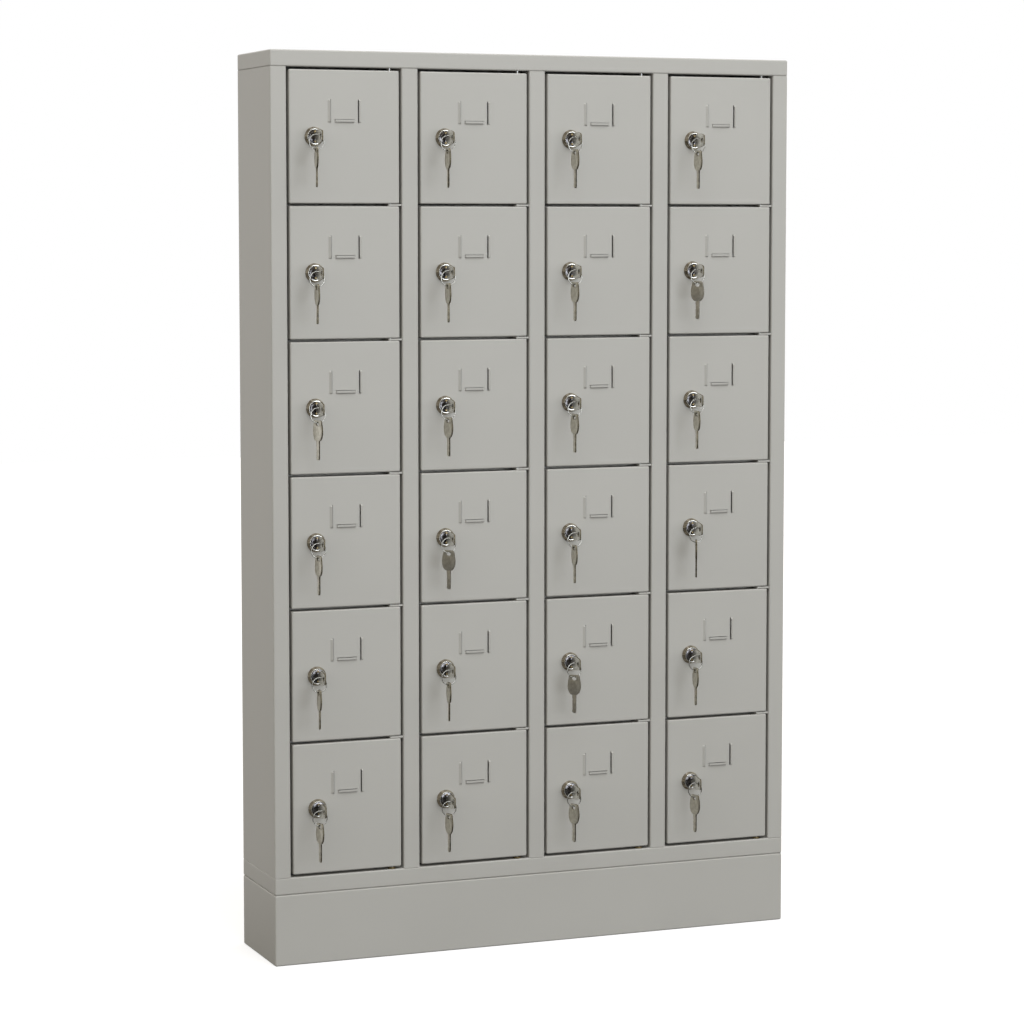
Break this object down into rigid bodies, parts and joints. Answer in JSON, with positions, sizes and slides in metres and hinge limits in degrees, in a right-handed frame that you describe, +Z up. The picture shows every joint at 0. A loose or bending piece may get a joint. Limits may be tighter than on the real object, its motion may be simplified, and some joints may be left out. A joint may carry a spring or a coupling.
{
  "type": "phone locker cabinet",
  "caption": "Shallow grey steel phone locker cabinet on a plinth, with small hinged doors, cam locks, keys and card tabs.",
  "frame": {"origin": "on the floor at the centre of the bounding box, which is midway across the width and midway between the cabinet's back and the front of the hanging keys", "axes": "+Z up, the doors face -Y, +X to the right as seen from the front"},
  "size_m": [0.62, 0.1535, 1],
  "materials": {
    "paint": "warm light grey powder coat, fine orange peel, satin",
    "lock_nickel": "nickel-plated lock and key metal, polished bezel, brushed key faces",
    "pin_steel": "bright zinc-plated steel",
    "washer_brass": "plain brass, slightly dulled"
  },
  "bodies": {
    "cabinet": {"side_panel_left": "paint", "side_panel_right": "paint", "top_cover": "paint", "bottom_tray": "paint", "plinth": "paint", "back_panel": "paint", "mullions": "paint", "partitions": "paint", "shelves": "paint", "hinge_tabs": "paint", "hinge_pins": "pin_steel", "hinge_washers": "washer_brass"},
    "door_r1c1": {"door_r1c1": "paint"},
    "lock_r1c1": {"lock_core_r1c1": "lock_nickel"},
    "door_r1c2": {"door_r1c2": "paint"},
    "lock_r1c2": {"lock_core_r1c2": "lock_nickel"},
    "door_r1c3": {"door_r1c3": "paint"},
    "lock_r1c3": {"lock_core_r1c3": "lock_nickel"},
    "door_r1c4": {"door_r1c4": "paint"},
    "lock_r1c4": {"lock_core_r1c4": "lock_nickel"},
    "door_r2c1": {"door_r2c1": "paint"},
    "lock_r2c1": {"lock_core_r2c1": "lock_nickel"},
    "door_r2c2": {"door_r2c2": "paint"},
    "lock_r2c2": {"lock_core_r2c2": "lock_nickel"},
    "door_r2c3": {"door_r2c3": "paint"},
    "lock_r2c3": {"lock_core_r2c3": "lock_nickel"},
    "door_r2c4": {"door_r2c4": "paint"},
    "lock_r2c4": {"lock_core_r2c4": "lock_nickel"},
    "door_r3c1": {"door_r3c1": "paint"},
    "lock_r3c1": {"lock_core_r3c1": "lock_nickel"},
    "door_r3c2": {"door_r3c2": "paint"},
    "lock_r3c2": {"lock_core_r3c2": "lock_nickel"},
    "door_r3c3": {"door_r3c3": "paint"},
    "lock_r3c3": {"lock_core_r3c3": "lock_nickel"},
    "door_r3c4": {"door_r3c4": "paint"},
    "lock_r3c4": {"lock_core_r3c4": "lock_nickel"},
    "door_r4c1": {"door_r4c1": "paint"},
    "lock_r4c1": {"lock_core_r4c1": "lock_nickel"},
    "door_r4c2": {"door_r4c2": "paint"},
    "lock_r4c2": {"lock_core_r4c2": "lock_nickel"},
    "door_r4c3": {"door_r4c3": "paint"},
    "lock_r4c3": {"lock_core_r4c3": "lock_nickel"},
    "door_r4c4": {"door_r4c4": "paint"},
    "lock_r4c4": {"lock_core_r4c4": "lock_nickel"},
    "door_r5c1": {"door_r5c1": "paint"},
    "lock_r5c1": {"lock_core_r5c1": "lock_nickel"},
    "door_r5c2": {"door_r5c2": "paint"},
    "lock_r5c2": {"lock_core_r5c2": "lock_nickel"},
    "door_r5c3": {"door_r5c3": "paint"},
    "lock_r5c3": {"lock_core_r5c3": "lock_nickel"},
    "door_r5c4": {"door_r5c4": "paint"},
    "lock_r5c4": {"lock_core_r5c4": "lock_nickel"},
    "door_r6c1": {"door_r6c1": "paint"},
    "lock_r6c1": {"lock_core_r6c1": "lock_nickel"},
    "door_r6c2": {"door_r6c2": "paint"},
    "lock_r6c2": {"lock_core_r6c2": "lock_nickel"},
    "door_r6c3": {"door_r6c3": "paint"},
    "lock_r6c3": {"lock_core_r6c3": "lock_nickel"},
    "door_r6c4": {"door_r6c4": "paint"},
    "lock_r6c4": {"lock_core_r6c4": "lock_nickel"}
  },
  "joints": [
    {"name": "r1c1_door", "type": "hinge", "parent": "cabinet", "child": "door_r1c1", "pos_m": [-0.1728, -0.03828, 0.90717], "axis": [0, 0, 1], "range_deg": [0, 110]},
    {"name": "r1c1_lock", "type": "hinge", "parent": "door_r1c1", "child": "lock_r1c1", "pos_m": [-0.2607, -0.04328, 0.90717], "axis": [0, 1, 0], "range_deg": [0, 90]},
    {"name": "r1c2_door", "type": "hinge", "parent": "cabinet", "child": "door_r1c2", "pos_m": [-0.0223, -0.03828, 0.90717], "axis": [0, 0, 1], "range_deg": [0, 110]},
    {"name": "r1c2_lock", "type": "hinge", "parent": "door_r1c2", "child": "lock_r1c2", "pos_m": [-0.1102, -0.04328, 0.90717], "axis": [0, 1, 0], "range_deg": [0, 90]},
    {"name": "r1c3_door", "type": "hinge", "parent": "cabinet", "child": "door_r1c3", "pos_m": [0.1282, -0.03828, 0.90717], "axis": [0, 0, 1], "range_deg": [0, 110]},
    {"name": "r1c3_lock", "type": "hinge", "parent": "door_r1c3", "child": "lock_r1c3", "pos_m": [0.0403, -0.04328, 0.90717], "axis": [0, 1, 0], "range_deg": [0, 90]},
    {"name": "r1c4_door", "type": "hinge", "parent": "cabinet", "child": "door_r1c4", "pos_m": [0.2787, -0.03828, 0.90717], "axis": [0, 0, 1], "range_deg": [0, 110]},
    {"name": "r1c4_lock", "type": "hinge", "parent": "door_r1c4", "child": "lock_r1c4", "pos_m": [0.1908, -0.04328, 0.90717], "axis": [0, 1, 0], "range_deg": [0, 90]},
    {"name": "r2c1_door", "type": "hinge", "parent": "cabinet", "child": "door_r2c1", "pos_m": [-0.1728, -0.03828, 0.7603], "axis": [0, 0, 1], "range_deg": [0, 110]},
    {"name": "r2c1_lock", "type": "hinge", "parent": "door_r2c1", "child": "lock_r2c1", "pos_m": [-0.2607, -0.04328, 0.7603], "axis": [0, 1, 0], "range_deg": [0, 90]},
    {"name": "r2c2_door", "type": "hinge", "parent": "cabinet", "child": "door_r2c2", "pos_m": [-0.0223, -0.03828, 0.7603], "axis": [0, 0, 1], "range_deg": [0, 110]},
    {"name": "r2c2_lock", "type": "hinge", "parent": "door_r2c2", "child": "lock_r2c2", "pos_m": [-0.1102, -0.04328, 0.7603], "axis": [0, 1, 0], "range_deg": [0, 90]},
    {"name": "r2c3_door", "type": "hinge", "parent": "cabinet", "child": "door_r2c3", "pos_m": [0.1282, -0.03828, 0.7603], "axis": [0, 0, 1], "range_deg": [0, 110]},
    {"name": "r2c3_lock", "type": "hinge", "parent": "door_r2c3", "child": "lock_r2c3", "pos_m": [0.0403, -0.04328, 0.7603], "axis": [0, 1, 0], "range_deg": [0, 90]},
    {"name": "r2c4_door", "type": "hinge", "parent": "cabinet", "child": "door_r2c4", "pos_m": [0.2787, -0.03828, 0.7603], "axis": [0, 0, 1], "range_deg": [0, 110]},
    {"name": "r2c4_lock", "type": "hinge", "parent": "door_r2c4", "child": "lock_r2c4", "pos_m": [0.1908, -0.04328, 0.7603], "axis": [0, 1, 0], "range_deg": [0, 90]},
    {"name": "r3c1_door", "type": "hinge", "parent": "cabinet", "child": "door_r3c1", "pos_m": [-0.1728, -0.03828, 0.61343], "axis": [0, 0, 1], "range_deg": [0, 110]},
    {"name": "r3c1_lock", "type": "hinge", "parent": "door_r3c1", "child": "lock_r3c1", "pos_m": [-0.2607, -0.04328, 0.61343], "axis": [0, 1, 0], "range_deg": [0, 90]},
    {"name": "r3c2_door", "type": "hinge", "parent": "cabinet", "child": "door_r3c2", "pos_m": [-0.0223, -0.03828, 0.61343], "axis": [0, 0, 1], "range_deg": [0, 110]},
    {"name": "r3c2_lock", "type": "hinge", "parent": "door_r3c2", "child": "lock_r3c2", "pos_m": [-0.1102, -0.04328, 0.61343], "axis": [0, 1, 0], "range_deg": [0, 90]},
    {"name": "r3c3_door", "type": "hinge", "parent": "cabinet", "child": "door_r3c3", "pos_m": [0.1282, -0.03828, 0.61343], "axis": [0, 0, 1], "range_deg": [0, 110]},
    {"name": "r3c3_lock", "type": "hinge", "parent": "door_r3c3", "child": "lock_r3c3", "pos_m": [0.0403, -0.04328, 0.61343], "axis": [0, 1, 0], "range_deg": [0, 90]},
    {"name": "r3c4_door", "type": "hinge", "parent": "cabinet", "child": "door_r3c4", "pos_m": [0.2787, -0.03828, 0.61343], "axis": [0, 0, 1], "range_deg": [0, 110]},
    {"name": "r3c4_lock", "type": "hinge", "parent": "door_r3c4", "child": "lock_r3c4", "pos_m": [0.1908, -0.04328, 0.61343], "axis": [0, 1, 0], "range_deg": [0, 90]},
    {"name": "r4c1_door", "type": "hinge", "parent": "cabinet", "child": "door_r4c1", "pos_m": [-0.1728, -0.03828, 0.46657], "axis": [0, 0, 1], "range_deg": [0, 110]},
    {"name": "r4c1_lock", "type": "hinge", "parent": "door_r4c1", "child": "lock_r4c1", "pos_m": [-0.2607, -0.04328, 0.46657], "axis": [0, 1, 0], "range_deg": [0, 90]},
    {"name": "r4c2_door", "type": "hinge", "parent": "cabinet", "child": "door_r4c2", "pos_m": [-0.0223, -0.03828, 0.46657], "axis": [0, 0, 1], "range_deg": [0, 110]},
    {"name": "r4c2_lock", "type": "hinge", "parent": "door_r4c2", "child": "lock_r4c2", "pos_m": [-0.1102, -0.04328, 0.46657], "axis": [0, 1, 0], "range_deg": [0, 90]},
    {"name": "r4c3_door", "type": "hinge", "parent": "cabinet", "child": "door_r4c3", "pos_m": [0.1282, -0.03828, 0.46657], "axis": [0, 0, 1], "range_deg": [0, 110]},
    {"name": "r4c3_lock", "type": "hinge", "parent": "door_r4c3", "child": "lock_r4c3", "pos_m": [0.0403, -0.04328, 0.46657], "axis": [0, 1, 0], "range_deg": [0, 90]},
    {"name": "r4c4_door", "type": "hinge", "parent": "cabinet", "child": "door_r4c4", "pos_m": [0.2787, -0.03828, 0.46657], "axis": [0, 0, 1], "range_deg": [0, 110]},
    {"name": "r4c4_lock", "type": "hinge", "parent": "door_r4c4", "child": "lock_r4c4", "pos_m": [0.1908, -0.04328, 0.46657], "axis": [0, 1, 0], "range_deg": [0, 90]},
    {"name": "r5c1_door", "type": "hinge", "parent": "cabinet", "child": "door_r5c1", "pos_m": [-0.1728, -0.03828, 0.3197], "axis": [0, 0, 1], "range_deg": [0, 110]},
    {"name": "r5c1_lock", "type": "hinge", "parent": "door_r5c1", "child": "lock_r5c1", "pos_m": [-0.2607, -0.04328, 0.3197], "axis": [0, 1, 0], "range_deg": [0, 90]},
    {"name": "r5c2_door", "type": "hinge", "parent": "cabinet", "child": "door_r5c2", "pos_m": [-0.0223, -0.03828, 0.3197], "axis": [0, 0, 1], "range_deg": [0, 110]},
    {"name": "r5c2_lock", "type": "hinge", "parent": "door_r5c2", "child": "lock_r5c2", "pos_m": [-0.1102, -0.04328, 0.3197], "axis": [0, 1, 0], "range_deg": [0, 90]},
    {"name": "r5c3_door", "type": "hinge", "parent": "cabinet", "child": "door_r5c3", "pos_m": [0.1282, -0.03828, 0.3197], "axis": [0, 0, 1], "range_deg": [0, 110]},
    {"name": "r5c3_lock", "type": "hinge", "parent": "door_r5c3", "child": "lock_r5c3", "pos_m": [0.0403, -0.04328, 0.3197], "axis": [0, 1, 0], "range_deg": [0, 90]},
    {"name": "r5c4_door", "type": "hinge", "parent": "cabinet", "child": "door_r5c4", "pos_m": [0.2787, -0.03828, 0.3197], "axis": [0, 0, 1], "range_deg": [0, 110]},
    {"name": "r5c4_lock", "type": "hinge", "parent": "door_r5c4", "child": "lock_r5c4", "pos_m": [0.1908, -0.04328, 0.3197], "axis": [0, 1, 0], "range_deg": [0, 90]},
    {"name": "r6c1_door", "type": "hinge", "parent": "cabinet", "child": "door_r6c1", "pos_m": [-0.1728, -0.03828, 0.17283], "axis": [0, 0, 1], "range_deg": [0, 110]},
    {"name": "r6c1_lock", "type": "hinge", "parent": "door_r6c1", "child": "lock_r6c1", "pos_m": [-0.2607, -0.04328, 0.17283], "axis": [0, 1, 0], "range_deg": [0, 90]},
    {"name": "r6c2_door", "type": "hinge", "parent": "cabinet", "child": "door_r6c2", "pos_m": [-0.0223, -0.03828, 0.17283], "axis": [0, 0, 1], "range_deg": [0, 110]},
    {"name": "r6c2_lock", "type": "hinge", "parent": "door_r6c2", "child": "lock_r6c2", "pos_m": [-0.1102, -0.04328, 0.17283], "axis": [0, 1, 0], "range_deg": [0, 90]},
    {"name": "r6c3_door", "type": "hinge", "parent": "cabinet", "child": "door_r6c3", "pos_m": [0.1282, -0.03828, 0.17283], "axis": [0, 0, 1], "range_deg": [0, 110]},
    {"name": "r6c3_lock", "type": "hinge", "parent": "door_r6c3", "child": "lock_r6c3", "pos_m": [0.0403, -0.04328, 0.17283], "axis": [0, 1, 0], "range_deg": [0, 90]},
    {"name": "r6c4_door", "type": "hinge", "parent": "cabinet", "child": "door_r6c4", "pos_m": [0.2787, -0.03828, 0.17283], "axis": [0, 0, 1], "range_deg": [0, 110]},
    {"name": "r6c4_lock", "type": "hinge", "parent": "door_r6c4", "child": "lock_r6c4", "pos_m": [0.1908, -0.04328, 0.17283], "axis": [0, 1, 0], "range_deg": [0, 90]}
  ]
}
